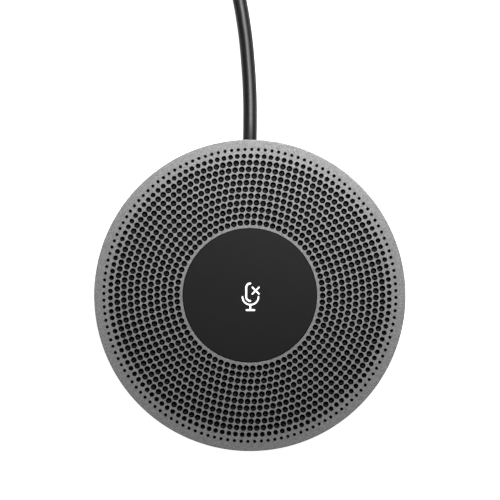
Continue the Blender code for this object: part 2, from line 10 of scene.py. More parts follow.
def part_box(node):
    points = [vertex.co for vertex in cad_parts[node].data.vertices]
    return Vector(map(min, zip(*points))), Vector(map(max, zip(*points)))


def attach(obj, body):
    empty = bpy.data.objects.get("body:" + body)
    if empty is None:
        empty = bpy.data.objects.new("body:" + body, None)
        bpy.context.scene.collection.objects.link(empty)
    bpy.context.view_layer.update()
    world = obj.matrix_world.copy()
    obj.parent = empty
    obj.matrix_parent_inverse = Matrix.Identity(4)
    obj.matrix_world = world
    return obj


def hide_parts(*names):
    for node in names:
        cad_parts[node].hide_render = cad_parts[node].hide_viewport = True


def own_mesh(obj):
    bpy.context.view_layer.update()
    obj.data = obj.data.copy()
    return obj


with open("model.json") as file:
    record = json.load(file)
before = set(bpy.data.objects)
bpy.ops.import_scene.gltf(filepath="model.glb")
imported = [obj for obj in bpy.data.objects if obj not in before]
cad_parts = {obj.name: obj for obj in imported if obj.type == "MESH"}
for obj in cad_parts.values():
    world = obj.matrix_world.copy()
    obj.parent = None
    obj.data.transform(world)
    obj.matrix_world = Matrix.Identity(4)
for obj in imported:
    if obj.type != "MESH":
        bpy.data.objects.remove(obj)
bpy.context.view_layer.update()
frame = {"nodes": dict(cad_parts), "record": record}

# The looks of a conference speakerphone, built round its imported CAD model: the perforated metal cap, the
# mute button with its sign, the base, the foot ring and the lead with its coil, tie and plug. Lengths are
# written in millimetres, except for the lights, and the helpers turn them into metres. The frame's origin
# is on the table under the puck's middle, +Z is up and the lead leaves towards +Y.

MM = 0.001
SMOOTH_UP_TO = 32  # degrees between two faces that still shade as one surface
ON_AXIS = 1e-6  # a radius below this is a point on the axis


def mm_box(node):
    """Lowest and highest corner of a CAD node, in millimetres."""
    return [corner / MM for corner in map(Vector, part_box(node))]


# Sizes read from the frame
GRILLE_LOW, GRILLE_HIGH = mm_box("top_grille")
PUCK_R = GRILLE_HIGH.x
PUCK_TOP = GRILLE_HIGH.z
WALL_FOOT = GRILLE_LOW.z
BUTTON_TOP = mm_box("mute_button_cap")[1].z
SKIRT_UNDER = mm_box("mute_button_cap")[0].z
RIM_R = mm_box("bottom_cover")[1].x
RIM_TOP = mm_box("bottom_cover")[1].z
FLOOR_BASE = mm_box("bottom_cover")[0].z
FOOT_R = mm_box("rubber_foot_ring")[1].x
FOOT_TOP = mm_box("rubber_foot_ring")[1].z

# Cap, opening and button
SHEET = 1.0
EDGE_R = 0.18
OPENING_R = 18.15
OPENING_BEND = 0.03
LIP_R = 18.85
LIP_UNDER = PUCK_TOP - 2.2
BUTTON_R = 18.0
BUTTON_EDGE_R = 0.12

# Perforation: rows of holes, each with more holes than the one inside it, which all start at one angle
ROWS = 12
FIRST_ROW_R = 19.65
ROW_PITCH = 1.794
FIRST_ROW_HOLES = 70
HOLES_MORE_PER_ROW = 6
ROW_START = math.radians(20.4)
HOLE_D = (1.53, *[1.57] * 9, 1.30, 0.86)
HOLE_SIDES = 20
HOLE_CHAMFER = 0.03
HOLE_NARROWS_TO = 0.55  # part of a hole's width that is left at its foot

# Lead, coil and plug
LEAD_D = 3.8
LEAD_EXIT = (0, 41.4, 8.6)
ROUTE = (
    (0, 31, 8.6),
    (0, 36, 8.6),
    LEAD_EXIT,
    (0.05, 46, 8.35),
    (0.05, 52, 7.4),
    (-0.15, 58, 6.2),
    (-0.55, 64, 4.95),
    (-1.1, 70, 3.75),
    (-1.85, 75.4, 2.8),
    (-2.7, 80.3, 2.15),
    (-4.8, 89.74, 1.9),
    (-7.32, 99.07, 1.9),
    (-10.25, 108.29, 1.9),
    (-13.59, 117.37, 1.9),
)
COIL_CENTRE = (-44.0, 114.4)
COIL_START = 24  # degrees about the coil's middle, where the lead joins the outermost turn
COIL_OUTER = 29.2
COIL_INNER = 15.5
TURNS_PER_LAYER = 3.6083
TURNS_TO_RISE = 0.5
END_ROUTE = (  # from the coil's middle: the free end leaves the outermost turn and rises to its plug
    (11.9, -27.2, 6.0),
    (17.7, -25.7, 6.8),
    (25.2, -22.3, 8.2),
    (29.7, -15.4, 9.8),
    (30.1, -7.1, 11.0),
    (28.1, -1.9, 11.6),
    (26.6, 0.1, 11.8),
)
TIE_ANGLE = 170
TIE_WIDTH = 8.0
TIE_THICK = 1.0
TIE_LIFT_SPAN = 24  # degrees over which the bundle rises onto its tie
PLUG_ANGLE = 42
PLUG_OFFSET = 19.8
PLUG_Z = 11.8

VIEW_WIDTH = 134.8  # width of the picture at the height of the puck's top
VIEW_CENTRE = (0.04, 12.24)
CAMERA_Z = 1100.0


# ---------------------------------------------------------------- helpers

def metres(*lengths):
    return Vector([length * MM for length in lengths])


def place(obj):
    """Links a new object into the scene."""
    bpy.context.scene.collection.objects.link(obj)
    return obj


def solid(name, points, faces, *materials, sharp=SMOOTH_UP_TO, face_material=None):
    """A mesh piece from points in millimetres, shaded smooth up to an angle between faces."""
    mesh = bpy.data.meshes.new(name)
    mesh.from_pydata([metres(*point) for point in points], [], faces)
    for material in materials:
        mesh.materials.append(material)
    if face_material:
        mesh.polygons.foreach_set("material_index", face_material)
    shape = bmesh.new()
    shape.from_mesh(mesh)
    bmesh.ops.recalc_face_normals(shape, faces=shape.faces)
    shape.to_mesh(mesh)
    shape.free()
    mesh.shade_smooth()
    mesh.set_sharp_from_angle(angle=math.radians(sharp))
    return place(bpy.data.objects.new(name, mesh))


def circle(radius, height, steps):
    """Points of a level circle about Z."""
    turn = math.tau / steps
    return [(radius * math.cos(turn * i), radius * math.sin(turn * i), height) for i in range(steps)]


def rounded(corners, steps=5):
    """An outline of (x, y, radius) corners with each corner rounded off by an arc of its radius."""
    outline = []
    count = len(corners)
    for index, (x, y, radius) in enumerate(corners):
        corner = Vector((x, y))
        if not radius:
            outline.append(corner)
            continue
        back = (Vector(corners[index - 1][:2]) - corner).normalized()
        ahead = (Vector(corners[(index + 1) % count][:2]) - corner).normalized()
        half = back.angle(ahead) / 2
        centre = corner + (back + ahead).normalized() * radius / math.sin(half)
        first = corner + back * radius / math.tan(half) - centre
        last = corner + ahead * radius / math.tan(half) - centre
        sweep = first.angle_signed(last)
        for step in range(steps + 1):
            outline.append(centre + Matrix.Rotation(-sweep * step / steps, 2) @ first)
    return outline


def turned(name, outline, material, steps):
    """Turns a closed outline of (radius, height) about Z. It runs outwards along the top, down the outer
    side and back along the bottom. Points on the axis become one point each."""
    points, rings = [], []
    for radius, height in outline:
        if radius < ON_AXIS:
            rings.append([len(points)] * steps)
            points.append((0, 0, height))
        else:
            rings.append(list(range(len(points), len(points) + steps)))
            points.extend(circle(radius, height, steps))
    faces = []
    for index, upper in enumerate(rings):
        lower = rings[(index + 1) % len(rings)]
        faces.extend(strip(upper, lower))
    return solid(name, points, faces, material)


def strip(upper, lower):
    """Faces between two closed rows of point numbers, without those that have collapsed."""
    faces = []
    for index in range(len(upper)):
        after = (index + 1) % len(upper)
        corners = dict.fromkeys((upper[index], lower[index], lower[after], upper[after]))
        if len(corners) > 2:
            faces.append(tuple(corners))
    return faces


def box(name, size, material, bevel=0.0, segments=1):
    """A block about its own middle, with all its edges rounded off by a bevel if asked."""
    mesh = bpy.data.meshes.new(name)
    shape = bmesh.new()
    bmesh.ops.create_cube(shape, size=1)
    bmesh.ops.scale(shape, vec=metres(*size), verts=shape.verts)
    if bevel:
        edges = list(shape.edges)
        bmesh.ops.bevel(
            shape, geom=edges, offset=bevel * MM, segments=segments, profile=0.5, affect="EDGES"
        )
    shape.to_mesh(mesh)
    shape.free()
    mesh.materials.append(material)
    mesh.shade_smooth()
    mesh.set_sharp_from_angle(angle=math.radians(SMOOTH_UP_TO))
    return place(bpy.data.objects.new(name, mesh))


def put(obj, location, turn=(0, 0, 0)):
    """Moves an object to a place in millimetres and turns it by angles in degrees."""
    obj.location = metres(*location)
    obj.rotation_euler = [math.radians(angle) for angle in turn]
    return obj


def combine(obj, others, operation="DIFFERENCE"):
    """Cuts other meshes from a mesh, or joins them to it, and removes them."""
    for other in others:
        modifier = obj.modifiers.new(other.name, "BOOLEAN")
        modifier.operation = operation
        modifier.object = other
        modifier.solver = "EXACT"
    bpy.context.view_layer.update()
    source = obj.evaluated_get(bpy.context.evaluated_depsgraph_get())
    mesh = bpy.data.meshes.new_from_object(source)
    obj.modifiers.clear()
    obj.data = mesh
    mesh.shade_smooth()
    mesh.set_sharp_from_angle(angle=math.radians(SMOOTH_UP_TO))
    for other in others:
        bpy.data.objects.remove(other)
    return obj


def arc(centre, radius, first, last, steps):
    """Points of a flat arc between two angles in degrees."""
    angles = [math.radians(first + (last - first) * step / steps) for step in range(steps + 1)]
    return [(centre[0] + radius * math.cos(a), centre[1] + radius * math.sin(a)) for a in angles]


def beside_coil(x, y, angle=0.0):
    """A point given from the coil's middle, in axes turned by an angle in degrees."""
    turn = math.radians(angle)
    return (
        COIL_CENTRE[0] + x * math.cos(turn) - y * math.sin(turn),
        COIL_CENTRE[1] + x * math.sin(turn) + y * math.cos(turn),
    )


# ---------------------------------------------------------------- materials

class Look:
    """A Principled material and the nodes that give it its surface."""

    def __init__(self, name, colour, roughness, metallic=0.0, **sockets):
        self.material = bpy.data.materials.new(name)
        self.material.use_nodes = True
        self.tree = self.material.node_tree
        self.shader = self.tree.nodes["Principled BSDF"]
        self.colour = colour
        self.shader.inputs["Base Color"].default_value = (*colour, 1)
        self.shader.inputs["Roughness"].default_value = roughness
        self.shader.inputs["Metallic"].default_value = metallic
        for socket, value in sockets.items():
            self.shader.inputs[socket.replace("_", " ")].default_value = value
        self.where = self.node("TexCoord").outputs["Object"]
        self.height = None

    def node(self, kind, **settings):
        node = self.tree.nodes.new(f"ShaderNode{kind}")
        for name, value in settings.items():
            setattr(node, name, value)
        return node

    def feed(self, node, **values):
        for name, value in values.items():
            socket = node.inputs[name.replace("_", " ")]
            if isinstance(value, bpy.types.NodeSocket):
                self.tree.links.new(value, socket)
            else:
                socket.default_value = value
        return node

    def noise(self, size, detail=2.0, stretch=(1, 1, 1)):
        """Noise from 0 to 1 with features of about a size in millimetres."""
        mapping = self.feed(self.node("Mapping"), Vector=self.where, Scale=stretch)
        noise = self.node("TexNoise")
        self.feed(noise, Vector=mapping.outputs["Vector"], Scale=1 / (size * MM), Detail=detail)
        return noise.outputs["Fac"]

    def waves(self, period, direction):
        """Ridges from 0 to 1 that repeat along an axis with a period in millimetres."""
        wave = self.node("TexWave", wave_profile="SIN", bands_direction=direction)
        self.feed(wave, Vector=self.where, Scale=math.pi / 10 / (period * MM))
        return wave.outputs["Fac"]

    def maths(self, operation, first, second):
        node = self.node("Math", operation=operation)
        for socket, value in zip(node.inputs, (first, second)):
            if isinstance(value, bpy.types.NodeSocket):
                self.tree.links.new(value, socket)
            else:
                socket.default_value = value
        return node.outputs["Value"]

    def ranged(self, value, low, high, first=0.0, last=1.0):
        """Stretches a value, so that first becomes low and last becomes high."""
        node = self.node("MapRange")
        self.feed(node, Value=value, From_Min=first, From_Max=last, To_Min=low, To_Max=high)
        return node.outputs["Result"]

    def shade(self, value, dark, light):
        """Colours the surface from a darker to a lighter version of its colour."""
        mix = self.node("Mix", data_type="RGBA")
        self.tree.links.new(value, mix.inputs["Factor"])
        for socket, tone in ((mix.inputs[6], dark), (mix.inputs[7], light)):
            socket.default_value = (*[channel * tone for channel in self.colour], 1)
        self.tree.links.new(mix.outputs[2], self.shader.inputs["Base Color"])
        return self

    def gloss(self, value, low, high):
        """Varies the roughness from low, where a value is 0, to high, where it is 1."""
        self.tree.links.new(self.ranged(value, low, high), self.shader.inputs["Roughness"])
        return self

    def relief(self, value, depth, strength=1.0):
        """Raises the surface by up to a depth in millimetres."""
        bump = self.node("Bump")
        self.feed(bump, Height=value, Distance=depth * MM, Strength=strength)
        if self.height:
            self.tree.links.new(self.height, bump.inputs["Normal"])
        self.height = bump.outputs["Normal"]
        self.tree.links.new(self.height, self.shader.inputs["Normal"])
        return self


def silver_paint():
    """Satin silver paint with fine metal flake."""
    look = Look("silver_paint", (0.335, 0.335, 0.338), 0.42, 0.85)
    flake = look.noise(0.34, 3)
    look.shade(look.ranged(flake, 0, 1, 0.3, 0.7), 0.66, 1.34)
    look.gloss(look.noise(0.5), 0.40, 0.50)
    return look.relief(flake, 0.006, 0.35).relief(look.noise(3.0), 0.01, 0.2)


def moulded(name, colour, roughness, grain=0.25, depth=0.012, **sockets):
    """Spark-eroded moulded plastic or rubber: a fine grain with a faint change of shade and gloss."""
    look = Look(name, colour, roughness, **sockets)
    texture = look.noise(grain, 3)
    look.shade(look.noise(6.0), 0.9, 1.1)
    look.gloss(texture, roughness - 0.06, roughness + 0.08)
    return look.relief(texture, depth, 0.5)


def charcoal():
    """The button's matt plastic, which reflects little."""
    return moulded("charcoal_plastic", (0.0095, 0.0095, 0.0098), 0.62, 0.22, 0.008, Specular_IOR_Level=0.25)


def black_wall_painted_shade():
    """The inside of the cap and of its holes: black plastic under the silver paint, made near black as
    painted shade so the holes read as shadowed.
    """
    return moulded("black_wall_painted_shade", (0.002, 0.002, 0.002), 0.8, 0.2, 0.01, Specular_IOR_Level=0.1)


def woven(name, colour, period, depth, roughness=0.95):
    """Plain weave: two sets of threads that pass over each other."""
    look = Look(name, colour, roughness, Sheen_Weight=0.25, Sheen_Roughness=0.5)
    across, along = look.waves(period, "X"), look.waves(period, "Y")
    threads = look.maths("MAXIMUM", across, along)
    look.shade(look.maths("MULTIPLY", threads, look.noise(period * 3)), 0.5, 1.5)
    look.gloss(threads, roughness, roughness - 0.1)
    return look.relief(threads, depth).relief(look.noise(period / 2), depth / 3, 0.5)


def metal(name, colour, roughness, grain=0.3, stretch=(1, 1, 1)):
    """Bare or plated metal with a fine grain, which a stretch draws out along one way."""
    look = Look(name, colour, roughness, 1.0)
    texture = look.noise(grain, 3, stretch)
    look.shade(look.noise(2.5), 0.88, 1.06)
    look.gloss(texture, roughness - 0.07, roughness + 0.1)
    return look.relief(texture, 0.006, 0.3)


def circuit_board():
    """Green solder resist over copper tracks that show as lighter lines."""
    look = Look("circuit_board", (0.012, 0.09, 0.04), 0.38, Coat_Weight=0.2)
    tracks = look.maths("MULTIPLY", look.waves(1.1, "X"), look.waves(1.3, "Y"))
    look.shade(look.ranged(tracks, 0, 1, 0.45, 0.55), 0.75, 1.7)
    look.gloss(look.noise(0.8), 0.32, 0.45)
    return look.relief(tracks, 0.03, 0.6)


def jacket():
    """Extruded cable jacket: a soft sheen with a faint unevenness."""
    look = Look("black_pvc", (0.012, 0.012, 0.0122), 0.38, Specular_IOR_Level=0.55)
    look.shade(look.noise(4.0), 0.88, 1.12)
    look.gloss(look.noise(0.7), 0.35, 0.41)
    return look.relief(look.noise(0.8), 0.004, 0.2)


def painted_glow_sign():
    """White inlay over the light guide, given a painted glow (emission) so that it shows bright white."""
    look = Look("painted_glow_sign", (0.9, 0.9, 0.9), 0.4, Emission_Color=(1, 1, 1, 1), Emission_Strength=0.75)
    look.gloss(look.noise(0.4), 0.38, 0.46)
    return look.relief(look.noise(0.4), 0.004, 0.3)


def copper_winding():
    """Turns of enamelled wire side by side, with painted shade that darkens the colour in the grooves between
    the turns.
    """
    look = Look("enamelled_copper", (0.60, 0.26, 0.12), 0.3, 1.0)
    wires = look.waves(0.2, "Z")
    # Painted shade: darker in the grooves between the turns.
    look.shade(wires, 0.6, 1.1)
    look.gloss(wires, 0.4, 0.25)
    return look.relief(wires, 0.05)


def make_materials():
    """One finish for each material slot of the record, and four more for visual pieces only."""
    looks = {
        "silver_paint": silver_paint(),
        "charcoal_plastic": charcoal(),
        "black_plastic": moulded("black_plastic", (0.012, 0.012, 0.0125), 0.5, 0.35, 0.02),
        "black_cloth": woven("black_cloth", (0.044, 0.044, 0.045), 0.16, 0.04),
        "black_rubber": moulded("black_rubber", (0.017, 0.017, 0.017), 0.82, 0.35, 0.02),
        "zinc_steel": metal("zinc_steel", (0.56, 0.57, 0.58), 0.33),
        "ferrite": moulded("ferrite", (0.05, 0.05, 0.055), 0.5, 0.15, 0.01),
        "circuit_board": circuit_board(),
        "chip_resin": moulded("chip_resin", (0.02, 0.02, 0.022), 0.42, 0.1, 0.005),
        "nickel_plate": metal("nickel_plate", (0.74, 0.72, 0.69), 0.24, 0.5, (1, 1, 6)),
        "ivory_nylon": moulded("ivory_nylon", (0.78, 0.74, 0.62), 0.45, 0.3, 0.008),
        "clear_silicone": moulded("clear_silicone", (0.55, 0.56, 0.56), 0.42, 0.5, 0.01),
        "milky_acrylic": moulded("milky_acrylic", (0.90, 0.90, 0.89), 0.36, 0.4, 0.004),
        "amber_film": moulded("amber_film", (0.45, 0.20, 0.04), 0.3, 1.0, 0.01),
        "black_paper": moulded("black_paper", (0.03, 0.03, 0.03), 0.85, 0.12, 0.02),
        "enamelled_copper": copper_winding(),
        "yellow_linen": woven("yellow_linen", (0.50, 0.38, 0.14), 0.35, 0.06, 0.9),
        "red_insulation": moulded("red_insulation", (0.45, 0.02, 0.02), 0.38, 0.3, 0.005),
        "black_pvc": jacket(),
        "black_wall_painted_shade": black_wall_painted_shade(),
        "tie_fabric": woven("tie_fabric", (0.022, 0.022, 0.024), 0.45, 0.12),
        "painted_glow_sign": painted_glow_sign(),
        "contact_gold": metal("contact_gold", (0.83, 0.62, 0.28), 0.25),
    }
    return {name: look.material for name, look in looks.items()}


# ---------------------------------------------------------------- camera, light and floor

def make_camera():
    """Looks straight down from far above, as in a product view of the top."""
    camera = bpy.data.cameras.new("camera")
    camera.sensor_width = 36
    distance = CAMERA_Z - PUCK_TOP
    camera.lens = camera.sensor_width * distance / VIEW_WIDTH
    obj = place(bpy.data.objects.new("camera", camera))
    obj.location = metres(*VIEW_CENTRE, CAMERA_Z)
    bpy.context.scene.camera = obj


def area_light(name, location, aim, size, power):
    """A soft box that faces a point. Places and sizes are in metres, its power in watts."""
    light = bpy.data.lights.new(name, "AREA")
    light.shape = "RECTANGLE"
    light.size, light.size_y = size
    light.energy = power
    obj = place(bpy.data.objects.new(name, light))
    obj.location = location
    obj.rotation_euler = (Vector(aim) - Vector(location)).to_track_quat("-Z", "Y").to_euler()


def make_light():
    """A soft box high behind the puck on the right, a small one close behind it and a weak one at its
    left, so that the metal darkens from the back to the front."""
    area_light("key", (0.28, 0.25, 0.48), aim=(0, 0.02, 0), size=(0.26, 0.2), power=1.08)
    area_light("close", (0.035, 0.17, 0.28), aim=(0, 0.03, 0), size=(0.14, 0.10), power=0.72)
    area_light("side", (-0.30, 0.0, 0.45), aim=(0, 0, 0), size=(0.2, 0.4), power=0.23)
    world = bpy.data.worlds.new("studio")
    world.use_nodes = True
    sky = world.node_tree.nodes["Background"]
    sky.inputs["Color"].default_value = (1, 1, 1, 1)
    sky.inputs["Strength"].default_value = 0.012
    bpy.context.scene.world = world
    bpy.context.scene.view_settings.view_transform = "Standard"


def make_floor():
    """A plain pale floor, bright enough to show as white."""
    look = Look("floor", (0.9, 0.9, 0.9), 0.7, Emission_Color=(1, 1, 1, 1), Emission_Strength=0.95)
    look.gloss(look.noise(40), 0.65, 0.75)
    half, sunk = 3000, 0.02
    corners = ((-half, -half, 0), (half, -half, 0), (half, half, 0), (-half, half, 0))
    floor = solid("floor", corners, [(0, 1, 2, 3)], look.material)
    floor.location.z = -sunk * MM
    return floor


def flag(floor, piece):
    """Keeps the bright floor's glow off a piece, as a black flag does in a studio."""
    shaded = bpy.data.collections.new("flagged")
    shaded.objects.link(piece)
    floor.light_linking.receiver_collection = shaded
    shaded.collection_objects[0].light_linking.link_state = "EXCLUDE"


# ---------------------------------------------------------------- lead, coil, tie and plug

def smoothstep(value):
    value = min(1, max(0, value))
    return value * value * (3 - 2 * value)


def coil_point(turns):
    """The lead's place after a number of turns: in along the table, up at the middle, and out on top."""
    pitch = (COIL_OUTER - COIL_INNER) / TURNS_PER_LAYER
    rise = TURNS_PER_LAYER + TURNS_TO_RISE
    inward = COIL_OUTER - pitch * min(turns, TURNS_PER_LAYER)
    radius = inward + pitch * max(0, turns - rise)
    height = LEAD_D / 2 + LEAD_D * smoothstep((turns - TURNS_PER_LAYER) / TURNS_TO_RISE)
    angle = COIL_START + 360 * turns
    from_tie = (angle - TIE_ANGLE + 180) % 360 - 180
    height += TIE_THICK * math.exp(-((from_tie / TIE_LIFT_SPAN) ** 2))
    return (*beside_coil(radius, 0, angle), height)


def lead_route():
    """Points of the whole lead, from inside the puck round the coil to the plug."""
    steps_per_turn = 18
    turns = 2 * TURNS_PER_LAYER + TURNS_TO_RISE
    count = round(turns * steps_per_turn)
    coil = [coil_point(turns * step / count) for step in range(count + 1)]
    end = [(*beside_coil(x, y), z) for x, y, z in END_ROUTE]
    return [Vector(point) for point in (*ROUTE, *coil, *end)]


def smooth(route, spacing):
    """Points about one spacing apart on a smooth curve (Catmull-Rom) through a route's own points."""
    ends = [2 * route[0] - route[1], *route, 2 * route[-1] - route[-2]]
    points = []
    for before, start, end, after in zip(ends, ends[1:], ends[2:], ends[3:]):
        parts = max(1, round((end - start).length / spacing))
        for part in range(parts):
            t = part / parts
            linear = (end - before) * t
            square = (2 * before - 5 * start + 4 * end - after) * t**2
            cube = (3 * start - before - 3 * end + after) * t**3
            points.append(start + (linear + square + cube) / 2)
    return [*points, route[-1]]


def make_cable(look):
    """The lead as one round tube along its route."""
    curve = bpy.data.curves.new("cable", "CURVE")
    curve.dimensions = "3D"
    curve.bevel_depth = LEAD_D / 2 * MM
    curve.bevel_resolution = 6
    curve.use_fill_caps = True
    spacing = 1.6
    points = smooth(lead_route(), spacing)
    spline = curve.splines.new("POLY")
    spline.points.add(len(points) - 1)
    for spot, point in zip(spline.points, points):
        spot.co = (*metres(*point), 1)
    spline.use_smooth = True
    curve.materials.append(look["black_pvc"])
    cable = place(bpy.data.objects.new("cable", curve))
    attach(cable, "puck")
    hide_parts("usb_cable", "cable_coil", "usb_cable_end")
    return cable


def make_tie(look):
    """A woven strap round the bundle, whose end laps over itself on top."""
    lead_r, half = LEAD_D / 2, TIE_WIDTH / 2
    play, corner, soft_share, soft_drop = 0.1, 1.8, 0.22, 0.3
    tail_length, tail_thick, tail_inset, tail_shift, tail_rise, tail_turn = 12.5, 0.8, 0.6, 0.6, 0.36, 2
    chord_inside = math.sqrt((COIL_INNER - lead_r) ** 2 - half**2)
    inner, outer = chord_inside - play, COIL_OUTER + lead_r + play
    lid = TIE_THICK + 2 * LEAD_D + play

    def loop(grow):
        """The strap's inner face, or one further out, as an outline across the bundle."""
        left, right, base, top = inner - grow, outer + grow, TIE_THICK - grow, lid + grow
        corners = ((right, base), (right, top), (left, top), (left, base))
        return rounded([(*spot, corner + grow) for spot in corners], 6)

    def around_section(near, far):
        """The strap's cross-section between two points, with its edges rounded off."""
        soft_near, soft_far = near.lerp(far, soft_share), far.lerp(near, soft_share)
        edge = half - soft_drop
        section = ((near, edge), (soft_near, half), (soft_far, half), (far, edge))
        return [*section, *((spot, -across) for spot, across in reversed(section))]

    points, faces, rows = [], [], []
    for near, far in zip(loop(0), loop(TIE_THICK)):
        section = around_section(near, far)
        rows.append(list(range(len(points), len(points) + len(section))))
        points.extend((*beside_coil(spot.x, across, TIE_ANGLE), spot.y) for spot, across in section)
    for index, row in enumerate(rows):
        faces.extend(strip(row, rows[(index + 1) % len(rows)]))
    tie = solid("cable_strap", points, faces, look["tie_fabric"], sharp=50)
    tail_size = (tail_length, TIE_WIDTH - tail_inset, tail_thick)
    tail = box("strap_tail", tail_size, look["tie_fabric"], 0.3, 3)
    x, y = beside_coil((inner + outer) / 2 + tail_shift, 0, TIE_ANGLE)
    put(tail, (x, y, lid + TIE_THICK + tail_rise), (0, 0, TIE_ANGLE + tail_turn))
    for piece in (tie, tail):
        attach(piece, "puck")
    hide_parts("cable_tie")
    return [tie, tail]


def relief_outline(length):
    """Half of the strain relief's outline: five ridges that get thinner towards the lead."""
    ridges, widest, taper, groove_depth, inside_grip = 5, 3.4, 1.1, 0.45, 0.8
    crest, groove = (0.25, 1.05), (1.25, 1.55)  # where they start and end, from the start of a ridge
    steps = [(0.0, -inside_grip), (3.5, -inside_grip)]
    for ridge in range(ridges):
        start, radius = length * ridge / ridges, widest - taper * ridge / (ridges - 1)
        steps += [(radius, start + along) for along in crest]
        steps += [(radius - groove_depth, start + along) for along in groove]
    steps = [*steps[:-2], (widest - taper, length), (0.0, length)]
    return steps[::-1]


def make_plug(look):
    """Moulded grip with ribs and a stepped strain relief, a folded metal shell, and the tongue inside it."""
    grip_length, grip_middle, relief_length, shell_length, shell_gap = 25.0, 3.1, 8.0, 12.0, 0.3
    ribs_per_side, first_rib, rib_pitch, rib_across = 6, 4.5, 1.7, 7.75
    mouth_shift, window_back, window_across = 0.8, 0.9, 2.6
    tongue_shift, tongue_drop, contact_shift = 0.4, 0.95, 0.5
    contact_reach = {-3.5: 7.4, -1.0: 6.4, 1.0: 6.4, 3.5: 7.4}  # each contact's length, by its place
    back, front = grip_middle - grip_length / 2, grip_middle + grip_length / 2

    def on_plug(along, up=0.0, across=0.0):
        return (*beside_coil(PLUG_OFFSET + across, along, PLUG_ANGLE), PLUG_Z + up)

    def on(piece, along, up=0.0, across=0.0):
        """Puts a piece on the plug's axis, pointing along it, and moves it up or across if asked."""
        return put(piece, on_plug(along, up, across), (0, 0, PLUG_ANGLE + 90))

    pvc, nickel = look["black_pvc"], look["nickel_plate"]
    grip = on(box("plug_grip", (grip_length, 15.4, 7.8), pvc, 1.5, 6), grip_middle)
    grooves = []
    for side in (-1, 1):
        for rib in range(ribs_per_side):
            groove = box("rib", (0.7, 1.3, 5.0), pvc, 0.25, 2)
            grooves.append(on(groove, back + first_rib + rib_pitch * rib, 0, side * rib_across))
    combine(grip, grooves)
    relief = turned("plug_relief", relief_outline(relief_length), pvc, 40)
    put(relief, on_plug(back), (0, -90, PLUG_ANGLE + 90))

    middle = front + shell_gap + shell_length / 2
    shell = on(box("plug_shell", (shell_length, 12.0, 4.5), nickel, 0.5, 3), middle)
    cutters = [on(box("mouth", (shell_length, 11.3, 3.8), nickel, 0.25, 2), middle + mouth_shift)]
    for across in (-window_across, window_across):
        cutters.append(on(box("window", (2.3, 2.4, 8), nickel), middle - window_back, 0, across))
    combine(shell, cutters)
    tongue = box("plug_tongue", (9.6, 11.0, 1.8), look["chip_resin"], 0.2, 2)
    on(tongue, middle + tongue_shift, -tongue_drop)
    contacts = []
    for number, (across, reach) in enumerate(contact_reach.items(), 1):
        contact = box(f"plug_contact_{number}", (reach, 1.0, 0.16), look["contact_gold"], 0.05, 2)
        contacts.append(on(contact, middle + contact_shift, 0, across))
    made = [(grip, "black_pvc"), (relief, "black_pvc"), (shell, "nickel_plate"), (tongue, "chip_resin")]
    for piece, slot in made + [(contact, "nickel_plate") for contact in contacts]:
        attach(piece, "puck")
    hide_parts("usb_plug_overmould")
    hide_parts("usb_plug_shell")
    return [piece for piece, slot in made] + contacts


def make_cord(look):
    """The lead with the tie, plug and grommet that go with it."""
    cable = make_cable(look)
    pieces = [*make_tie(look), *make_plug(look), make_grommet(look)]
    return cable


def make_grommet(look):
    """A short rubber sleeve in the back wall that the lead comes out of."""
    low, high = mm_box("cable_grommet")
    bore, tip_r, sleeve_r, flange_r = LEAD_D / 2 + 0.04, 2.6, 3.1, 3.9
    taper_y, flange_y = 39.6, 34.2
    corners = [
        (bore, high.y, 0), (tip_r, high.y, 0.18), (sleeve_r, taper_y, 0.3), (sleeve_r, flange_y, 0),
        (flange_r, flange_y, 0.2), (flange_r, low.y, 0.2), (bore, low.y, 0),
    ]
    grommet = turned("lead_grommet", rounded(corners), look["black_rubber"], 48)
    put(grommet, (0, 0, LEAD_EXIT[2]), (-90, 0, 0))
    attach(grommet, "puck")
    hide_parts("cable_grommet")
    return grommet


# ---------------------------------------------------------------- puck

def hole_row(row):
    """The radius of one row of the perforation, and its number of holes."""
    return FIRST_ROW_R + ROW_PITCH * row, FIRST_ROW_HOLES + HOLES_MORE_PER_ROW * row


def all_holes():
    """(x, y, radius) of every hole of the perforation."""
    holes = []
    for row in range(ROWS):
        radius, count = hole_row(row)
        for index in range(count):
            angle = ROW_START + math.tau * index / count
            holes.append((radius * math.cos(angle), radius * math.sin(angle), HOLE_D[row] / 2))
    return holes


def in_a_hole(x, y):
    """Whether a point of the cap's face lies in one of its holes."""
    row = round((math.hypot(x, y) - FIRST_ROW_R) / ROW_PITCH)
    if not 0 <= row < ROWS:
        return False
    radius, count = hole_row(row)
    step = math.tau / count
    angle = ROW_START + step * round((math.atan2(y, x) - ROW_START) / step)
    away = math.hypot(x - radius * math.cos(angle), y - radius * math.sin(angle))
    return away < HOLE_D[row] / 2 + HOLE_CHAMFER / 2


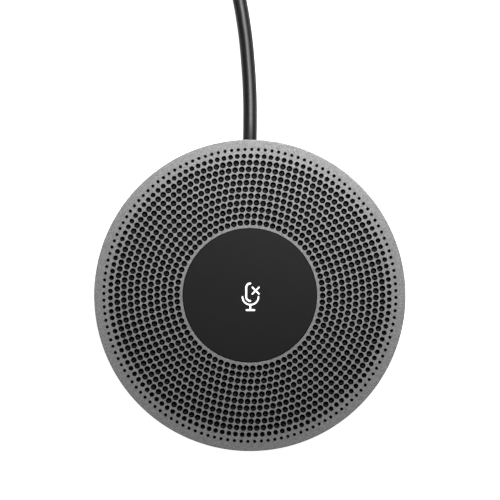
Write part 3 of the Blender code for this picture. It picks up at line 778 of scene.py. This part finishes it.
def make_grille(look):
    """The pressed cap as one closed shell: the face with its holes, their walls, and the underside."""
    painted, dark = 0, 1
    outer_steps, inner_steps, foot_chamfer, sharp_from = 288, 192, 0.15, 5
    face_r, face_inner_r = PUCK_R - EDGE_R, OPENING_R + OPENING_BEND
    under = PUCK_TOP - SHEET
    outer_profile = [
        *arc((face_r, PUCK_TOP - EDGE_R), EDGE_R, 90, 0, 8), (PUCK_R, WALL_FOOT + foot_chamfer),
        (PUCK_R - foot_chamfer, WALL_FOOT), (PUCK_R - SHEET, WALL_FOOT), (PUCK_R - SHEET, under),
    ]
    opening_profile = [
        *arc((face_inner_r, PUCK_TOP - OPENING_BEND), OPENING_BEND, 90, 180, 5),
        (OPENING_R, LIP_UNDER), (LIP_R, LIP_UNDER), (LIP_R, under),
    ]
    points, faces, inks = [], [], []

    def ring(radius, height, steps):
        first = len(points)
        points.extend(circle(radius, height, steps))
        return list(range(first, first + steps))

    def hole_loop(x, y, radius, height):
        first = len(points)
        points.extend((x + a, y + b, height) for a, b, _ in circle(radius, 0, HOLE_SIDES))
        return list(range(first, first + HOLE_SIDES))

    def add_faces(new, ink):
        faces.extend(new)
        inks.extend([ink] * len(new))

    outside = [ring(radius, height, outer_steps) for radius, height in outer_profile]
    opening = [ring(radius, height, inner_steps) for radius, height in opening_profile]
    for upper, lower in zip(outside, outside[1:]):
        add_faces(strip(upper, lower), painted)
    for upper, lower in zip(opening, opening[1:]):
        add_faces(strip(lower, upper), painted)

    holes = all_holes()
    tops = [hole_loop(x, y, radius + HOLE_CHAMFER, PUCK_TOP) for x, y, radius in holes]
    shoulders = [hole_loop(x, y, radius, PUCK_TOP - HOLE_CHAMFER) for x, y, radius in holes]
    bottoms = [hole_loop(x, y, radius * HOLE_NARROWS_TO, under) for x, y, radius in holes]
    for top, shoulder, bottom in zip(tops, shoulders, bottoms):
        add_faces(strip(shoulder, top), painted)
        # The hole walls take the near-black finish: black plastic with painted shade.
        add_faces(strip(bottom, shoulder), dark)

    loops = [outside[0], opening[0], *tops]
    below = [outside[-1], opening[-1], *bottoms]
    flat = [number for loop in loops for number in loop]
    twin = dict(zip(flat, (number for loop in below for number in loop)))
    spots = [Vector(points[number][:2]) for number in flat]
    edges, start = [], 0
    for loop in loops:
        edges.extend((start + i, start + (i + 1) % len(loop)) for i in range(len(loop)))
        start += len(loop)
    only_inside, nearest = 1, 1e-6
    corners, _, triangles, origins, _, _ = delaunay_2d_cdt(spots, edges, [], only_inside, nearest)
    for triangle in triangles:
        x, y = (sum(corners[corner][axis] for corner in triangle) / 3 for axis in (0, 1))
        if in_a_hole(x, y) or not face_inner_r < math.hypot(x, y) < face_r:
            continue
        top = [flat[origins[corner][0]] for corner in triangle]
        add_faces([tuple(top)], painted)
        add_faces([tuple(twin[number] for number in reversed(top))], dark)
    finishes = (look["silver_paint"], look["black_wall_painted_shade"])
    grille = solid("perforated_cap", points, faces, *finishes, sharp=sharp_from, face_material=inks)
    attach(grille, "puck")
    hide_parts("top_grille")


def make_cloth(look):
    """The dark cloth stretched under the perforation."""
    low, high = mm_box("acoustic_cloth")
    inner = 19.2
    corners = [(inner, high.z, 0.1), (high.x, high.z, 0.1), (high.x, low.z, 0), (inner, low.z, 0)]
    cloth = turned("grille_cloth", rounded(corners, 3), look["black_cloth"], 144)
    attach(cloth, "puck")
    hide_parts("acoustic_cloth")


def stroke(name, centreline, width, under, top, material):
    """A prism round a centreline of (x, y) points, with round ends."""
    points = [Vector(point) for point in centreline]
    left, right = [], []
    for index, point in enumerate(points):
        ahead = points[min(index + 1, len(points) - 1)] - points[max(index - 1, 0)]
        normal = Vector((-ahead.y, ahead.x)).normalized() * width / 2
        left.append(point + normal)
        right.append(point - normal)
    outline = right + round_end(points[-1], right[-1]) + left[::-1] + round_end(points[0], left[0])
    count = len(outline)
    corners = [(*spot, height) for height in (under, top) for spot in outline]
    faces = [(i, (i + 1) % count, (i + 1) % count + count, i + count) for i in range(count)]
    faces += [tuple(reversed(range(count))), tuple(range(count, 2 * count))]
    return solid(name, corners, faces, material)


def round_end(centre, start, steps=9):
    """Points of a half circle that closes the end of a stroke, without its two ends."""
    arm = start - centre
    return [centre + Matrix.Rotation(math.pi * step / steps, 2) @ arm for step in range(1, steps)]


def sign_strokes(name, under, top, shrink, material):
    """A generic muted-microphone sign: half a capsule, a cross beside it, a cradle, a stem and a foot."""
    capsule = [*arc((0.11, 2.13), 1.08, 90, 180, 10), *arc((0.11, -0.41), 1.08, 180, 270, 10)]
    lines = (
        (capsule, 0.54),
        (((0.69, 0.4), (2.45, 2.18)), 0.46),
        (((0.69, 2.18), (2.45, 0.4)), 0.46),
        (arc((0.16, -0.36), 2.16, 181, 359, 28), 0.46),
        (((0.13, -2.5), (0.13, -3.9)), 0.48),
        (((-0.88, -3.96), (1.18, -3.96)), 0.54),
    )
    strokes = [stroke(name, line, width - shrink, under, top, material) for line, width in lines]
    return combine(strokes[0], strokes[1:], "UNION")


def make_button(look):
    """The cap with its rounded edge and skirt, three guide lugs, and the white sign set into it."""
    skirt_inner, cap_under = BUTTON_R - 1.3, BUTTON_TOP - 1.4
    lug_size, lug_r, lug_z = (1.6, 3.0, 1.0), BUTTON_R + 0.2, 19.0
    sign_depth, sign_gap, sign_sunk, sign_play = 0.35, 0.02, 0.01, 0.03
    corners = [
        (0, BUTTON_TOP, 0), (BUTTON_R, BUTTON_TOP, BUTTON_EDGE_R), (BUTTON_R, SKIRT_UNDER, 0.15),
        (skirt_inner, SKIRT_UNDER, 0.15), (skirt_inner, cap_under, 0.4), (0, cap_under, 0),
    ]
    cap = turned("button_cap", rounded(corners, 6), look["charcoal_plastic"], 192)
    lugs = []
    for angle in (30, 150, 270):
        spoke = math.radians(angle)
        centre = (lug_r * math.cos(spoke), lug_r * math.sin(spoke), lug_z)
        lugs.append(put(box("lug", lug_size, look["charcoal_plastic"]), centre, (0, 0, angle)))
    combine(cap, lugs, "UNION")
    floor = BUTTON_TOP - sign_depth
    combine(cap, [sign_strokes("recess", floor, BUTTON_TOP + 1, 0.0, look["charcoal_plastic"])])
    top = BUTTON_TOP - sign_sunk
    # The sign's finish is a painted glow that keeps it bright white.
    sign = sign_strokes("mute_sign", floor + sign_gap, top, sign_play, look["painted_glow_sign"])
    for piece, slot in ((cap, "charcoal_plastic"), (sign, "milky_acrylic")):
        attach(piece, "mute_button")
    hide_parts("mute_button_cap")


def make_base(look):
    """The dark tray: rounded rim, leaning side, rounded bottom edge, foot groove, the lead's hole and
    the seats of the four screws."""
    floor_top, groove_top = 2.6, FLOOR_BASE + 0.6
    well_inner, well_outer, well_top = 18.2, 19.6, 11.2  # the wall round the loudspeaker
    groove_inner, groove_outer = 24.7, FOOT_R + 0.3
    hole_r, hole_start, hole_end = 3.4, 34, 44
    shank_r, head_r, head_top, seat_top = 1.6, 2.7, 3.4, 6
    corners = [
        (0, floor_top, 0), (well_inner, floor_top, 0), (well_inner, well_top, 0), (well_outer, well_top, 0),
        (well_outer, floor_top, 0), (34.0, floor_top, 1.2), (RIM_R - 1.9, RIM_TOP, 0), (RIM_R, RIM_TOP, 0.35),
        (36.4, 3.0, 0), (36.0, FLOOR_BASE, 1.9), (groove_outer, FLOOR_BASE, 0.15),
        (groove_outer, groove_top, 0), (groove_inner, groove_top, 0), (groove_inner, FLOOR_BASE, 0.15),
        (0, FLOOR_BASE, 0),
    ]
    base = turned("base_tray", rounded(corners, 7), look["black_plastic"], 192)
    outline = [(0, hole_end), (hole_r, hole_end), (hole_r, hole_start), (0, hole_start)]
    hole = turned("lead_hole", outline, look["black_plastic"], 48)
    cutters = [put(hole, (0, 0, LEAD_EXIT[2]), (-90, 0, 0))]
    seat = [(0, seat_top), (shank_r, seat_top), (shank_r, head_top), (head_r, head_top), (head_r, 0), (0, 0)]
    for number in range(1, 5):
        low, high = mm_box(f"base_screw_{number}")
        centre = ((low.x + high.x) / 2, (low.y + high.y) / 2, 0)
        cutters.append(put(turned("screw_seat", seat, look["black_plastic"], 32), centre))
    combine(base, cutters)
    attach(base, "puck")
    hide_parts("bottom_cover")


def make_foot(look):
    """The rubber ring the puck stands on, with three shallow grip grooves in its underside."""
    inner, outer, edge_r = 25.0, FOOT_R, 0.3
    grooves, groove_half, groove_floor_half, groove_depth, groove_edge_r = 3, 0.3, 0.15, 0.25, 0.1
    corners = [(inner, FOOT_TOP, 0), (outer, FOOT_TOP, 0), (outer, 0, edge_r)]
    for groove in range(grooves, 0, -1):
        middle = inner + (outer - inner) * groove / (grooves + 1)
        corners += [(middle + groove_half, 0, groove_edge_r), (middle + groove_floor_half, groove_depth, 0)]
        corners += [(middle - groove_floor_half, groove_depth, 0), (middle - groove_half, 0, groove_edge_r)]
    corners.append((inner, 0, edge_r))
    foot = turned("foot_ring", rounded(corners, 3), look["black_rubber"], 144)
    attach(foot, "puck")
    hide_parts("rubber_foot_ring")


def make_return_pad(look):
    """The silicone ring under the button's cap."""
    low, high = mm_box("button_return_pad")
    shoulder, inside, push = low.z + 0.6, high.x - 1.6, 0.5
    top_inner, top_outer, foot_edge_r = 9.6, 10.6, 0.15
    corners = [
        (top_inner, high.z, 0.1), (top_outer, high.z, 0.3), (high.x, shoulder, 0.5),
        (high.x, low.z, foot_edge_r), (inside, low.z, foot_edge_r), (inside, shoulder, 0.4),
    ]
    pad = turned("return_pad", rounded(corners, 4), look["clear_silicone"], 96)
    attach(pad, "puck")
    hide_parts("button_return_pad")
    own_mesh(pad)


def make_spider(look):
    """The corrugated linen ring that centres the voice coil."""
    low, high = mm_box("speaker_spider")
    inner, waves, steps, half_thick = 5.4, 5, 60, 0.06
    swing = (high.z - low.z) / 2 - half_thick
    line = []
    for step in range(steps + 1):
        share = step / steps
        height = (low.z + high.z) / 2 + swing * math.cos(math.tau * waves * share)
        line.append((inner + (high.x - inner) * share, height))
    outline = [(radius, height + half_thick) for radius, height in line]
    outline += [(radius, height - half_thick) for radius, height in reversed(line)]
    spider = turned("spider_ring", outline, look["yellow_linen"], 96)
    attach(spider, "puck")
    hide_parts("speaker_spider")
    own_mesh(spider)


def dress_cad_nodes(look):
    """Gives every CAD node its record slot's finish."""
    for entry in frame["record"]["subparts"]:
        node = frame["nodes"][entry["node"]]
        material = look[entry["material_slot"]]
        if not node.material_slots:
            node.data.materials.append(material)
        for slot in node.material_slots:
            slot.material = material


make_camera()
LOOKS = make_materials()
cable = make_cord(LOOKS)
make_grille(LOOKS)
make_cloth(LOOKS)
make_button(LOOKS)
make_base(LOOKS)
make_foot(LOOKS)
make_return_pad(LOOKS)
make_spider(LOOKS)
dress_cad_nodes(LOOKS)
make_light()
flag(make_floor(), cable)
